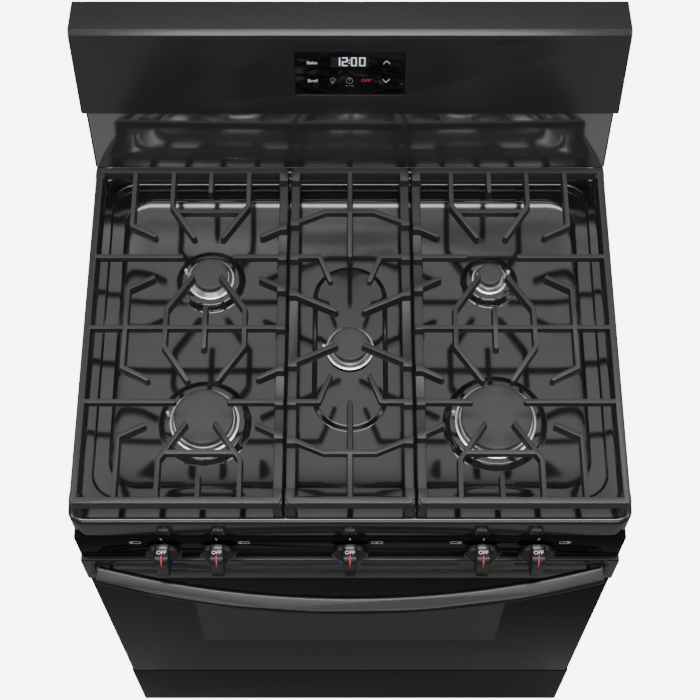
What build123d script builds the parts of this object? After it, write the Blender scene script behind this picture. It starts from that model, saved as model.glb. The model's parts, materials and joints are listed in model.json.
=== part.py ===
"""Freestanding gas range, 30 inch class: cabinet, sealed-burner cooktop, cast grates,
backguard with a touch clock, drop-down oven door and a storage drawer.

Frame: origin on the floor under the middle of the range, the front faces -Y, +Z is up.
"""
import os
from math import atan2, cos, degrees, hypot, radians, sin

from build123d import *

os.makedirs("parts", exist_ok=True)

# ---- driving dimensions, millimetres ----
HALF_WIDTH = 379.5          # cooktop, 759 mm wide
SHEET = 2.0                 # pressed steel sheet
GAP = 0.3                   # running gap between pieces that move apart
RIM_Z = 930.0               # cooktop rim
DECK_BOTTOM_Z = 880.0
DECK_FRONT_Y = -289.0
DECK_REAR_Y = 338.0
WELL_FLOOR_Z = 906.0
MOUND_Z = 914.0             # pressed seats under the burners
PANEL_Y = -291.0            # face of the control panel
PANEL_BOTTOM_Z = 806.0
DOOR_Y = -298.0             # face of the oven door and of the drawer
DOOR_BACK_Y = -264.0
DOOR_TOP_Z = 804.0
DOOR_BOTTOM_Z = 222.5
TRIM_BOTTOM_Z = 727.0
FRAME_Y = -258.0            # face of the front frame
REAR_Y = 338.0
BASE_Z = 20.0
HINGE_Y, HINGE_Z = -288.5, 237.5
HINGE_X = 335.0
LINER_HALF = 300.0          # oven cavity, inside
LINER_BOTTOM_Z, LINER_TOP_Z = 264.0, 735.0
LINER_REAR_Y = 218.0
OVEN_FLOOR_Z = 296.0
OPENING_BOTTOM_Z, OPENING_TOP_Z = 300.0, 715.0
WINDOW_HALF = 235.0
WINDOW_BOTTOM_Z, WINDOW_TOP_Z = 408.0, 632.0
RACK_LEVELS = (340.0, 400.0, 460.0, 520.0, 580.0)
RACK_FRONT_Y, RACK_BACK_Y = -244.0, 196.0
DRAWER_BOTTOM_Z, DRAWER_TOP_Z = 23.0, 219.2
KNOB_Z = 841.0
KNOB_X = (-258.0, -182.5, 0.0, 182.5, 258.0)
GRATE_TOP_Z = 980.0
GRATE_MID_Y = -19.0
GRATE_HALF_DEPTH = 260.0
SEAM_X = 87.5               # between the centre grate and each side grate
GRATE_OUTER_X = 370.0
BURNERS = {                 # name: (x, y, cap radius, ring radius, igniter angle)
    "left_rear": (-202.0, 92.0, 26.0, 34.0, 165),
    "left_front": (-202.0, -133.0, 41.5, 48.5, 170),
    "center": (0.0, -20.5, 26.5, 34.0, 180),
    "right_rear": (202.0, 92.0, 17.8, 25.5, 15),
    "right_front": (202.0, -133.0, 49.5, 56.5, 170),
}


def rounded_plate(half_x, y_low, y_high, radius):
    """A rounded rectangle in the current sketch, centred on X."""
    with Locations((0, (y_low + y_high) / 2)):
        RectangleRounded(2 * half_x, y_high - y_low, radius)


def block(x_low, x_high, y_low, y_high, z_low, z_high, mode=Mode.ADD):
    """A plain box between six planes."""
    middle = ((x_low + x_high) / 2, (y_low + y_high) / 2, (z_low + z_high) / 2)
    with Locations(middle):
        Box(x_high - x_low, y_high - y_low, z_high - z_low, mode=mode)


def save(part, name):
    part.label = name
    export_step(part, f"parts/{name}.step")


# ---- cabinet ----
PANEL_X = 376.5             # inner face of the side panels
FLANGE = 18.0
SIDE_BOTTOM_Z = BASE_Z + SHEET


def side_panel(side):
    with BuildPart() as panel:
        with BuildSketch(Plane.XY.offset(SIDE_BOTTOM_Z)):
            with BuildLine():
                Polyline(
                    (side * (PANEL_X - FLANGE), FRAME_Y),
                    (side * (PANEL_X + SHEET), FRAME_Y),
                    (side * (PANEL_X + SHEET), REAR_Y),
                    (side * (PANEL_X - FLANGE), REAR_Y),
                    (side * (PANEL_X - FLANGE), REAR_Y - SHEET),
                    (side * PANEL_X, REAR_Y - SHEET),
                    (side * PANEL_X, FRAME_Y + SHEET),
                    (side * (PANEL_X - FLANGE), FRAME_Y + SHEET),
                    close=True,
                )
            make_face()
        extrude(amount=DECK_BOTTOM_Z - 0.5 - SIDE_BOTTOM_Z)
    return panel.part


save(side_panel(-1), "side_panel_left")
save(side_panel(1), "side_panel_right")

REAR_COVER_HALF = 374.0
REAR_COVER_Z = 220.0
GLAND_X, GLAND_Z = -300.0, 260.0
GLAND_R = 9.0
with BuildPart() as rear_cover:
    block(-REAR_COVER_HALF, REAR_COVER_HALF, REAR_Y, REAR_Y + SHEET, REAR_COVER_Z, DECK_BOTTOM_Z - 1)
    with Locations(Plane.XZ.offset(-REAR_Y - SHEET)):
        with Locations((GLAND_X, GLAND_Z)):
            Hole(GLAND_R)
    with BuildSketch(Plane.XZ.offset(-REAR_Y - SHEET)):
        with Locations((0, 560)):
            with GridLocations(60, 26, 7, 5):
                SlotOverall(44, 5)
    extrude(amount=SHEET, mode=Mode.SUBTRACT)
save(rear_cover.part, "rear_cover")

SCREW_R = 4.5
SCREW_HEAD = 2.4
with BuildPart() as rear_screws:
    with BuildSketch(Plane.XZ.offset(-REAR_Y - SHEET)):
        with Locations((0, (REAR_COVER_Z + DECK_BOTTOM_Z) / 2)):
            with GridLocations(2 * (REAR_COVER_HALF - 12), 200, 2, 4):
                Circle(SCREW_R)
    extrude(amount=-SCREW_HEAD)
    with BuildSketch(Plane.XZ.offset(-REAR_Y - SHEET - SCREW_HEAD)):
        with Locations((0, (REAR_COVER_Z + DECK_BOTTOM_Z) / 2)):
            with GridLocations(2 * (REAR_COVER_HALF - 12), 200, 2, 4):
                Rectangle(6, 1.2)
                Rectangle(1.2, 6)
    extrude(amount=1.2, mode=Mode.SUBTRACT)
save(rear_screws.part, "rear_screws")

GLAND_BORE = 6.0
GLAND_LENGTH = 14.0
GLAND_FLANGE = 3.0
with BuildPart() as power_gland:
    with BuildSketch(Plane.XZ.offset(-REAR_Y + GLAND_LENGTH / 2)):
        with Locations((GLAND_X, GLAND_Z)):
            Circle(GLAND_R)
    extrude(amount=-GLAND_LENGTH)
    with BuildSketch(Plane.XZ.offset(-REAR_Y - SHEET)):
        with Locations((GLAND_X, GLAND_Z)):
            Circle(GLAND_R + GLAND_FLANGE)
    extrude(amount=-GLAND_FLANGE)
    with Locations(Plane.XZ.offset(-REAR_Y - SHEET)):
        with Locations((GLAND_X, GLAND_Z)):
            Hole(GLAND_BORE)
save(power_gland.part, "power_gland")

FOOT_X, FOOT_Y = 345.0, (-215.0, 295.0)
FOOT_R, STUD_R = 16.0, 5.0
with BuildPart() as base_frame:
    with BuildSketch(Plane.XY.offset(BASE_Z)):
        rounded_plate(PANEL_X + SHEET, FRAME_Y, REAR_Y, 4)
        with Locations((0, (FRAME_Y + REAR_Y) / 2)):
            Rectangle(2 * 318, REAR_Y - FRAME_Y - 90, mode=Mode.SUBTRACT)
        for foot_y in FOOT_Y:
            with Locations((-FOOT_X, foot_y), (FOOT_X, foot_y)):
                Circle(STUD_R + 0.2, mode=Mode.SUBTRACT)
    extrude(amount=SHEET)
save(base_frame.part, "base_frame")

with BuildPart() as leveling_feet:
    for foot_y in FOOT_Y:
        with Locations((-FOOT_X, foot_y), (FOOT_X, foot_y)):
            Cylinder(FOOT_R, 8, align=(Align.CENTER, Align.CENTER, Align.MIN))
            Cylinder(STUD_R, 48, align=(Align.CENTER, Align.CENTER, Align.MIN))
    with BuildSketch(Plane.XY.offset(8)):
        for foot_y in FOOT_Y:
            with Locations((-FOOT_X, foot_y), (FOOT_X, foot_y)):
                RegularPolygon(10, 6)
    extrude(amount=BASE_Z - 8)
    chamfer(leveling_feet.edges().filter_by(GeomType.CIRCLE).group_by(Axis.Z)[0], 1.5)
save(leveling_feet.part, "leveling_feet")

with BuildPart() as front_frame:
    block(-PANEL_X + FLANGE + 0.5, PANEL_X - FLANGE - 0.5, FRAME_Y, FRAME_Y + SHEET, 222, PANEL_BOTTOM_Z)
    with BuildSketch(Plane.XZ.offset(-FRAME_Y)):
        with Locations((0, (OPENING_BOTTOM_Z + OPENING_TOP_Z) / 2)):
            RectangleRounded(2 * LINER_HALF - 20, OPENING_TOP_Z - OPENING_BOTTOM_Z, 20)
        with Locations((-HINGE_X, HINGE_Z + 1), (HINGE_X, HINGE_Z + 1)):
            Rectangle(12, 22)
    extrude(amount=-SHEET, mode=Mode.SUBTRACT)
save(front_frame.part, "front_frame")

GASKET = 5.5
with BuildPart() as door_gasket:
    with BuildSketch(Plane.XZ.offset(-FRAME_Y)):
        with Locations((0, (OPENING_BOTTOM_Z + OPENING_TOP_Z) / 2)):
            RectangleRounded(2 * LINER_HALF + 8, OPENING_TOP_Z - OPENING_BOTTOM_Z + 28, 30)
            RectangleRounded(2 * LINER_HALF - 16, OPENING_TOP_Z - OPENING_BOTTOM_Z + 4, 22, mode=Mode.SUBTRACT)
    extrude(amount=GASKET)
save(door_gasket.part, "door_gasket")

# ---- oven ----
with BuildPart() as oven_liner:
    block(-LINER_HALF - SHEET, LINER_HALF + SHEET, FRAME_Y + SHEET, LINER_REAR_Y + SHEET,
          LINER_BOTTOM_Z - SHEET, LINER_TOP_Z + SHEET)
    block(-LINER_HALF, LINER_HALF, FRAME_Y + SHEET, LINER_REAR_Y, LINER_BOTTOM_Z, LINER_TOP_Z,
          mode=Mode.SUBTRACT)
save(oven_liner.part, "oven_liner")

with BuildPart() as oven_bottom_panel:
    block(-LINER_HALF + 1, LINER_HALF - 1, FRAME_Y + 8, LINER_REAR_Y - 1, OVEN_FLOOR_Z - SHEET, OVEN_FLOOR_Z)
    with BuildSketch(Plane.XY.offset(OVEN_FLOOR_Z)):
        for slot_x in (-284, 284):
            with Locations((slot_x, -20)):
                with GridLocations(1, 64, 1, 6):
                    SlotOverall(40, 6, rotation=90)
    extrude(amount=-SHEET, mode=Mode.SUBTRACT)
save(oven_bottom_panel.part, "oven_bottom_panel")

BURNER_TUBE_R = 9.0
BROIL_Z, BAKE_Z = 718.0, 277.0
with BuildPart() as oven_burners:
    for tube_z, reach in ((BAKE_Z, 170.0), (BROIL_Z, 150.0)):
        with BuildLine():
            FilletPolyline(
                (-90, LINER_REAR_Y - 4, tube_z), (-90, -reach, tube_z),
                (90, -reach, tube_z), (90, LINER_REAR_Y - 40, tube_z), radius=60,
            )
        with BuildSketch(Plane((-90, LINER_REAR_Y - 4, tube_z), z_dir=(0, -1, 0))):
            Circle(BURNER_TUBE_R)
        sweep()
save(oven_burners.part, "oven_burners")

LAMP_X, LAMP_Z, LAMP_R = -225.0, 670.0, 22.0
with BuildPart() as oven_lamp:
    with Locations(Plane((LAMP_X, LINER_REAR_Y, LAMP_Z), z_dir=(0, -1, 0))):
        Cylinder(LAMP_R + 6, 4, align=(Align.CENTER, Align.CENTER, Align.MIN))
        Cylinder(LAMP_R, 18, align=(Align.CENTER, Align.CENTER, Align.MIN))
    fillet(oven_lamp.edges().sort_by(Axis.Y)[0], 8)
save(oven_lamp.part, "oven_lamp")

GUIDE_R, GUIDE_X, GUIDE_POST_X = 2.5, 289.0, 294.0
with BuildPart() as rack_guides:
    for side in (-1, 1):
        for level in RACK_LEVELS:
            with Locations(Plane((side * GUIDE_X, FRAME_Y + 12, level), z_dir=(0, 1, 0))):
                Cylinder(GUIDE_R, 440, align=(Align.CENTER, Align.CENTER, Align.MIN))
        for post_y in (-215, 165):
            with Locations((side * GUIDE_POST_X, post_y, RACK_LEVELS[0] - 15)):
                Cylinder(3.2, 280, align=(Align.CENTER, Align.CENTER, Align.MIN))
save(rack_guides.part, "rack_guides")


RACK_HALF = 287.0
RACK_WIRE_R, RACK_ROD_R = 3.0, 1.8


def oven_rack(level):
    """A chromed wire rack that rests on the guide wires of one level."""
    wire_z = level + GUIDE_R + RACK_WIRE_R + GAP
    with BuildPart() as rack:
        with BuildLine():
            FilletPolyline(
                (0, RACK_FRONT_Y, wire_z), (RACK_HALF, RACK_FRONT_Y, wire_z),
                (RACK_HALF, RACK_BACK_Y, wire_z), (0, RACK_BACK_Y, wire_z), radius=20,
            )
        with BuildSketch(Plane((0, RACK_FRONT_Y, wire_z), z_dir=(1, 0, 0))):
            Circle(RACK_WIRE_R)
        sweep()
        mirror(about=Plane.YZ)
        with Locations(Plane((0, RACK_FRONT_Y, wire_z + 1), x_dir=(1, 0, 0), z_dir=(0, 1, 0))):
            with GridLocations(36, 1, 15, 1):
                Cylinder(RACK_ROD_R, RACK_BACK_Y - RACK_FRONT_Y, align=(Align.CENTER, Align.CENTER, Align.MIN))
        with Locations(Plane((-RACK_HALF, 0, wire_z - 1), z_dir=(1, 0, 0))):
            Cylinder(RACK_WIRE_R, 2 * RACK_HALF, align=(Align.CENTER, Align.CENTER, Align.MIN))
    return rack.part


save(oven_rack(RACK_LEVELS[1]), "oven_rack_lower")
save(oven_rack(RACK_LEVELS[3]), "oven_rack_upper")

# ---- oven door ----
with BuildPart() as door_glass:
    with BuildSketch(Plane.XZ.offset(-DOOR_Y - 4)):
        with Locations((0, (DOOR_BOTTOM_Z + TRIM_BOTTOM_Z - 0.5) / 2)):
            RectangleRounded(2 * 375.5, TRIM_BOTTOM_Z - 0.5 - DOOR_BOTTOM_Z, 5)
    extrude(amount=4)
save(door_glass.part, "door_glass")

PAN_HALF, PAN_FRONT_Y = 372.0, DOOR_Y + 4.5
PAN_BOTTOM_Z, PAN_TOP_Z = 224.0, 800.0
with BuildPart() as door_inner_panel:
    block(-PAN_HALF, PAN_HALF, PAN_FRONT_Y, DOOR_BACK_Y, PAN_BOTTOM_Z, PAN_TOP_Z)
    block(-PAN_HALF + SHEET, PAN_HALF - SHEET, PAN_FRONT_Y, DOOR_BACK_Y - SHEET,
          PAN_BOTTOM_Z + SHEET, PAN_TOP_Z - SHEET, mode=Mode.SUBTRACT)
    block(-WINDOW_HALF, WINDOW_HALF, PAN_FRONT_Y, DOOR_BACK_Y, WINDOW_BOTTOM_Z, WINDOW_TOP_Z,
          mode=Mode.SUBTRACT)
    for side in (-1, 1):
        block(side * HINGE_X - 6, side * HINGE_X + 6, PAN_FRONT_Y, DOOR_BACK_Y, PAN_BOTTOM_Z,
              HINGE_Z + 14, mode=Mode.SUBTRACT)
save(door_inner_panel.part, "door_inner_panel")

with BuildPart() as door_inner_glass:
    block(-WINDOW_HALF - 12, WINDOW_HALF + 12, DOOR_BACK_Y - SHEET - 4, DOOR_BACK_Y - SHEET,
          WINDOW_BOTTOM_Z - 12, WINDOW_TOP_Z + 12)
save(door_inner_glass.part, "door_inner_glass")

VENT_SPANS = ((15, 153), (231, 365))
VENT_Z = (DOOR_TOP_Z - 12, DOOR_TOP_Z - 40)
VENT_HEIGHT = 3.5
TRIM_HALF = 378.5
with BuildPart() as door_top_trim:
    with BuildSketch(Plane.YZ):
        with BuildLine():
            Polyline(
                (DOOR_Y, TRIM_BOTTOM_Z), (DOOR_Y, DOOR_TOP_Z), (DOOR_BACK_Y, DOOR_TOP_Z),
                (DOOR_BACK_Y, DOOR_TOP_Z - 3.5), (DOOR_Y + 3, DOOR_TOP_Z - 3.5),
                (DOOR_Y + 3, TRIM_BOTTOM_Z), close=True,
            )
        make_face()
    extrude(amount=TRIM_HALF, both=True)
    fillet(door_top_trim.edges().filter_by(Axis.X).sort_by(lambda e: e.center().Y - e.center().Z)[0], 2.5)
    with BuildSketch(Plane.XZ.offset(-DOOR_Y)):
        for vent_z in VENT_Z:
            for low, high in VENT_SPANS:
                with Locations((-(low + high) / 2, vent_z), ((low + high) / 2, vent_z)):
                    SlotOverall(high - low, VENT_HEIGHT)
    extrude(amount=-3, mode=Mode.SUBTRACT)
save(door_top_trim.part, "door_top_trim")

HANDLE_END_X, HANDLE_END_Y, HANDLE_END_Z = 356.0, -311.0, 784.0
HANDLE_MID_Y, HANDLE_MID_Z = -352.5, 771.0
HANDLE_DEPTH, HANDLE_TALL = 26.0, 15.0
with BuildPart() as door_handle:
    with BuildLine() as handle_path:
        ThreePointArc(
            (-HANDLE_END_X, HANDLE_END_Y, HANDLE_END_Z), (0, HANDLE_MID_Y, HANDLE_MID_Z),
            (HANDLE_END_X, HANDLE_END_Y, HANDLE_END_Z),
        )
    tilt = (0, HANDLE_MID_Z - HANDLE_END_Z, HANDLE_END_Y - HANDLE_MID_Y)
    with BuildSketch(Plane(handle_path.line @ 0, x_dir=tilt, z_dir=handle_path.line % 0)):
        RectangleRounded(HANDLE_TALL, HANDLE_DEPTH, 6.5)
    sweep()
    for side in (-1, 1):
        with BuildSketch(Plane.XZ.offset(-DOOR_Y)):
            with Locations((side * (HANDLE_END_X - 8), HANDLE_END_Z)):
                RectangleRounded(26, HANDLE_TALL - 1, 6)
        extrude(amount=10)
save(door_handle.part, "door_handle")

PIN_R, EYE_R = 3.0, 5.0
with BuildPart() as door_hinge_arms:
    for side in (-1, 1):
        with Locations(Plane((side * HINGE_X, HINGE_Y, HINGE_Z), z_dir=(1, 0, 0))):
            Cylinder(PIN_R, 30)
        block(side * (HINGE_X + 11) - 3, side * (HINGE_X + 11) + 3, HINGE_Y - 5, HINGE_Y + 6,
              HINGE_Z - 8, HINGE_Z + 150)
        block(side * (HINGE_X - 11) - 3, side * (HINGE_X - 11) + 3, HINGE_Y - 5, HINGE_Y + 6,
              HINGE_Z - 8, HINGE_Z + 60)
save(door_hinge_arms.part, "door_hinge_arms")

TONGUE = 6.0
with BuildPart() as hinge_receivers:
    for side in (-1, 1):
        block(side * HINGE_X - 12, side * HINGE_X + 12, FRAME_Y + SHEET + 0.5, FRAME_Y + 34,
              HINGE_Z - 10, HINGE_Z + 26)
        block(side * HINGE_X - TONGUE / 2, side * HINGE_X + TONGUE / 2, HINGE_Y, FRAME_Y + 3,
              HINGE_Z - EYE_R, HINGE_Z + EYE_R)
        with Locations(Plane((side * HINGE_X, HINGE_Y, HINGE_Z), z_dir=(1, 0, 0))):
            Cylinder(EYE_R, TONGUE)
            Cylinder(PIN_R + 0.05, TONGUE, mode=Mode.SUBTRACT)
save(hinge_receivers.part, "hinge_receivers")

# ---- storage drawer ----
DRAWER_FRONT_DEPTH = 14.0
with BuildPart() as drawer_front:
    block(-378, 378, DOOR_Y, DOOR_Y + DRAWER_FRONT_DEPTH, DRAWER_BOTTOM_Z, DRAWER_TOP_Z)
    fillet(drawer_front.edges().group_by(Axis.Y)[0], 2.5)
    offset(amount=-SHEET, openings=drawer_front.faces().sort_by(Axis.Y)[-1])
save(drawer_front.part, "drawer_front")

BOX_HALF, BOX_BACK_Y = 318.0, 205.0
BOX_BOTTOM_Z, BOX_TOP_Z = 46.0, 190.0
BOX_FLANGE = 16.0
BOX_FRONT_Y = DOOR_Y + DRAWER_FRONT_DEPTH
with BuildPart() as drawer_box:
    block(-BOX_HALF, BOX_HALF, BOX_FRONT_Y, BOX_BACK_Y, BOX_BOTTOM_Z, BOX_TOP_Z)
    offset(amount=-SHEET, openings=drawer_box.faces().sort_by(Axis.Z)[-1])
    for side in (-1, 1):
        block(min(side * BOX_HALF, side * (BOX_HALF + BOX_FLANGE)),
              max(side * BOX_HALF, side * (BOX_HALF + BOX_FLANGE)),
              BOX_FRONT_Y, BOX_BACK_Y, BOX_TOP_Z - SHEET, BOX_TOP_Z)
save(drawer_box.part, "drawer_box")

RAIL_X = BOX_HALF + 4.0
RAIL_LENGTH = 495.0
with BuildPart() as drawer_rails:
    for side in (-1, 1):
        with BuildSketch(Plane.XZ.offset(-FRAME_Y - SHEET - 0.5)):
            with BuildLine():
                Polyline(
                    (side * RAIL_X, BOX_TOP_Z - SHEET - GAP),
                    (side * (RAIL_X + 26), BOX_TOP_Z - SHEET - GAP),
                    (side * (RAIL_X + 26), BOX_TOP_Z + 6),
                    (side * (RAIL_X + 28), BOX_TOP_Z + 6),
                    (side * (RAIL_X + 28), BOX_TOP_Z - 2 * SHEET - GAP),
                    (side * RAIL_X, BOX_TOP_Z - 2 * SHEET - GAP),
                    close=True,
                )
            make_face()
        extrude(amount=-RAIL_LENGTH)
save(drawer_rails.part, "drawer_rails")

# ---- cooktop ----
WELL_HALF, WELL_FRONT_Y, WELL_REAR_Y = 331.0, -240.0, 239.0
LEDGE_HALF, LEDGE_FRONT_Y, LEDGE_REAR_Y = 351.0, -251.0, 250.0
LEDGE_Z, SHELF_Z = 918.0, 923.0
SHELF_HALF, SHELF_FRONT_Y, SHELF_REAR_Y = 366.0, -262.0, 264.0
RISER_Y = 275.0
with BuildPart() as cooktop_deck:
    with BuildSketch(Plane.XY.offset(DECK_BOTTOM_Z)):
        rounded_plate(HALF_WIDTH, DECK_FRONT_Y, DECK_REAR_Y, 20)
    extrude(amount=RIM_Z - DECK_BOTTOM_Z)
    fillet(cooktop_deck.edges().group_by(Axis.Z)[-1], 5)
    with BuildSketch(Plane.XY.offset(RIM_Z)):
        rounded_plate(SHELF_HALF, SHELF_FRONT_Y, SHELF_REAR_Y, 22)
    extrude(amount=SHELF_Z - RIM_Z, mode=Mode.SUBTRACT)
    with BuildSketch(Plane.XY.offset(SHELF_Z)):
        rounded_plate(LEDGE_HALF, LEDGE_FRONT_Y, LEDGE_REAR_Y, 34)
    extrude(amount=LEDGE_Z - SHELF_Z, mode=Mode.SUBTRACT)
    with BuildSketch(Plane.XY.offset(LEDGE_Z)):
        rounded_plate(WELL_HALF, WELL_FRONT_Y, WELL_REAR_Y, 42)
    extrude(amount=WELL_FLOOR_Z - LEDGE_Z, mode=Mode.SUBTRACT)
    with BuildSketch(Plane.XY.offset(DECK_BOTTOM_Z)):
        rounded_plate(HALF_WIDTH - SHEET, DECK_FRONT_Y + SHEET, DECK_REAR_Y - SHEET, 18)
    extrude(amount=WELL_FLOOR_Z - SHEET - DECK_BOTTOM_Z, mode=Mode.SUBTRACT)
    with BuildSketch(Plane.XY.offset(WELL_FLOOR_Z - SHEET)):
        rounded_plate(HALF_WIDTH - SHEET, DECK_FRONT_Y + SHEET, DECK_REAR_Y - SHEET, 18)
        with Locations((0, (WELL_FRONT_Y + WELL_REAR_Y) / 2)):
            RectangleRounded(2 * WELL_HALF + 2 * SHEET, WELL_REAR_Y - WELL_FRONT_Y + 2 * SHEET, 44,
                             mode=Mode.SUBTRACT)
    extrude(amount=LEDGE_Z - WELL_FLOOR_Z, mode=Mode.SUBTRACT)
    with BuildSketch(Plane.XY.offset(WELL_FLOOR_Z)):
        with Locations((0, -14)):
            SlotOverall(259, 104, rotation=90)
    extrude(amount=4, taper=35)
    for burner_x, burner_y, cap_r, ring_r, angle in BURNERS.values():
        with BuildSketch(Plane.XY.offset(WELL_FLOOR_Z)):
            with Locations((burner_x, burner_y)):
                Circle(ring_r + 16)
        extrude(amount=MOUND_Z - WELL_FLOOR_Z, taper=35)
    with Locations(Plane.XY.offset(MOUND_Z)):
        with Locations(*[(b[0], b[1]) for b in BURNERS.values()]):
            Hole(16)
save(cooktop_deck.part, "cooktop_deck")

CAP_TOP_Z, CAP_HEIGHT = 932.0, 5.0
HEAD_TOP_Z = CAP_TOP_Z - CAP_HEIGHT - GAP
BAND_Z = 922.5
THROAT_R, THROAT_BOTTOM_Z = 12.0, 890.0
PORT_DEPTH = 2.5
IGNITER_R = 2.2
for burner, (burner_x, burner_y, cap_r, ring_r, angle) in BURNERS.items():
    band_r = cap_r - 1.5
    ports = int(band_r * 0.8)
    with BuildPart() as head:
        with BuildSketch(Plane.XZ.offset(-burner_y)):
            with BuildLine():
                Polyline(
                    (burner_x, MOUND_Z), (burner_x + ring_r, MOUND_Z),
                    (burner_x + ring_r, MOUND_Z + 1.5), (burner_x + cap_r + 2, BAND_Z),
                    (burner_x + band_r, BAND_Z), (burner_x + band_r, HEAD_TOP_Z),
                    (burner_x, HEAD_TOP_Z), close=True,
                )
            make_face()
        revolve(axis=Axis((burner_x, burner_y, 0), (0, 0, 1)))
        with Locations((burner_x, burner_y, THROAT_BOTTOM_Z)):
            Cylinder(THROAT_R, MOUND_Z - THROAT_BOTTOM_Z, align=(Align.CENTER, Align.CENTER, Align.MIN))
        with Locations((burner_x, burner_y, BAND_Z)):
            with PolarLocations(band_r, ports):
                Box(2 * PORT_DEPTH, 2.0, 2.2, align=(Align.CENTER, Align.CENTER, Align.MIN),
                    mode=Mode.SUBTRACT)
    save(head.part, f"burner_head_{burner}")
    with BuildPart() as cap:
        with Locations((burner_x, burner_y, CAP_TOP_Z - CAP_HEIGHT)):
            Cylinder(cap_r, CAP_HEIGHT, align=(Align.CENTER, Align.CENTER, Align.MIN))
        fillet(cap.edges().group_by(Axis.Z)[-1], 2.2)
    save(cap.part, f"burner_cap_{burner}")

with BuildPart() as igniters:
    for burner_x, burner_y, cap_r, ring_r, angle in BURNERS.values():
        reach = ring_r + IGNITER_R + 0.6
        spot = (burner_x + reach * cos(radians(angle)), burner_y + reach * sin(radians(angle)), MOUND_Z)
        with Locations(spot):
            Cylinder(IGNITER_R, 11, align=(Align.CENTER, Align.CENTER, Align.MIN))
            Cylinder(1.0, 14, align=(Align.CENTER, Align.CENTER, Align.MIN))
save(igniters.part, "igniters")


# ---- cast grates ----
FINGER_W, FINGER_TALL, CROSS_TALL = 6.0, 15.0, 10.0
RAIL_W, RAIL_TALL = 8.5, 16.0
DRAFT = 5.0
SEAM_W, SEAM_DROP, SEAM_TALL = 11.5, 14.0, 12.0
FOOT_LEN = 16.0
FOOT_GAP = 0.3


def bar(start, end, width=FINGER_W, tall=FINGER_TALL, top=GRATE_TOP_Z):
    """A cast bar between two points, wider at its base; bars along a seam have square ends."""
    (x0, y0), (x1, y1) = start, end
    base = width + 2 * tall * sin(radians(DRAFT)) / cos(radians(DRAFT))
    with BuildSketch(Plane.XY.offset(top - tall)) as outline:
        with Locations(((x0 + x1) / 2, GRATE_MID_Y + (y0 + y1) / 2)):
            length = hypot(x1 - x0, y1 - y0)
            if width == SEAM_W:
                Rectangle(base, length)
            else:
                SlotCenterToCenter(length, base, rotation=degrees(atan2(y1 - y0, x1 - x0)))
    extrude(outline.sketch, amount=tall, taper=DRAFT)


def bars(points, **size):
    """A run of bars through the points, and its mirror image front to back."""
    for start, end in zip(points, points[1:]):
        bar(start, end, **size)
        if start[1] or end[1]:
            if start[1] != -end[1]:
                bar((start[0], -start[1]), (end[0], -end[1]), **size)


def foot(x, y):
    """A leg down to the cooktop rim."""
    with BuildSketch(Plane.XY.offset(RIM_Z + FOOT_GAP)) as sole:
        with Locations((x, GRATE_MID_Y + y)):
            RectangleRounded(13, FOOT_LEN, 3)
    extrude(sole.sketch, amount=GRATE_TOP_Z - 4 - RIM_Z - FOOT_GAP)


END_Y = GRATE_HALF_DEPTH - RAIL_W / 2
OUTER_X = GRATE_OUTER_X - RAIL_W / 2 - 2
SIDE_SEAM_X = SEAM_X + 0.8 + SEAM_W / 2 + 2
CENTER_SEAM_X = SEAM_X - 0.8 - SEAM_W / 2 - 2
TIE_Y, SIDE_BAR_Y, MID_BAR_Y = 187.0, 112.6, 0.0


def side_grate(side):
    """The left (-1) or right (1) grate, over a rear and a front burner."""
    with BuildPart() as grate:
        bars([(side * OUTER_X, -END_Y), (side * OUTER_X, END_Y)], width=RAIL_W, tall=RAIL_TALL)
        bars([(side * OUTER_X, END_Y), (side * SIDE_SEAM_X, END_Y)], width=RAIL_W, tall=RAIL_TALL)
        bars([(side * SIDE_SEAM_X, -END_Y), (side * SIDE_SEAM_X, END_Y)], width=SEAM_W,
             tall=SEAM_TALL, top=GRATE_TOP_Z - SEAM_DROP)
        bars([(side * 311.5, END_Y), (side * 311.5, 164), (side * 278, 147)])
        bars([(side * 311.5, -61), (side * 311.5, 61)])
        bars([(side * 311.5, 61), (side * 277, 79)])
        for bend_x, tip_x in ((256, 222), (146.5, 181)):
            bars([(side * bend_x, END_Y), (side * bend_x, 197), (side * tip_x, 145)])
            bars([(side * bend_x, -29), (side * bend_x, 29)])
            bars([(side * bend_x, 29), (side * tip_x, 80)])
        bars([(side * 201.5, END_Y), (side * 201.5, 221)])
        bars([(side * 201.5, -30.5), (side * 201.5, 30.5)])
        bars([(side * 248, TIE_Y), (side * 155, TIE_Y)], tall=CROSS_TALL)
        bars([(side * OUTER_X, SIDE_BAR_Y), (side * 239, SIDE_BAR_Y)], tall=CROSS_TALL)
        bars([(side * 163, SIDE_BAR_Y), (side * SIDE_SEAM_X, SIDE_BAR_Y)], tall=CROSS_TALL)
        bars([(side * 124.5, 147), (side * SIDE_SEAM_X, 161)])
        bars([(side * 125, 77), (side * SIDE_SEAM_X, 63)])
        bars([(side * OUTER_X, MID_BAR_Y), (side * SIDE_SEAM_X, MID_BAR_Y)], tall=CROSS_TALL)
        for pad_y in (162, SIDE_BAR_Y, 62):
            bars([(side * SIDE_SEAM_X, pad_y - 8), (side * SIDE_SEAM_X, pad_y + 8)], width=SEAM_W,
                 tall=SEAM_DROP + SEAM_TALL)
        bars([(side * SIDE_SEAM_X, 236), (side * SIDE_SEAM_X, END_Y)], width=SEAM_W,
             tall=SEAM_DROP + SEAM_TALL)
        bars([(side * SIDE_SEAM_X, -6), (side * SIDE_SEAM_X, 6)], width=SEAM_W,
             tall=SEAM_DROP + SEAM_TALL)
        for foot_x in (OUTER_X, SIDE_SEAM_X):
            for end in (-1, 1):
                foot(side * foot_x, end * (GRATE_HALF_DEPTH - FOOT_LEN / 2))
    return grate.part


save(side_grate(-1), "grate_left")
save(side_grate(1), "grate_right")

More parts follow.
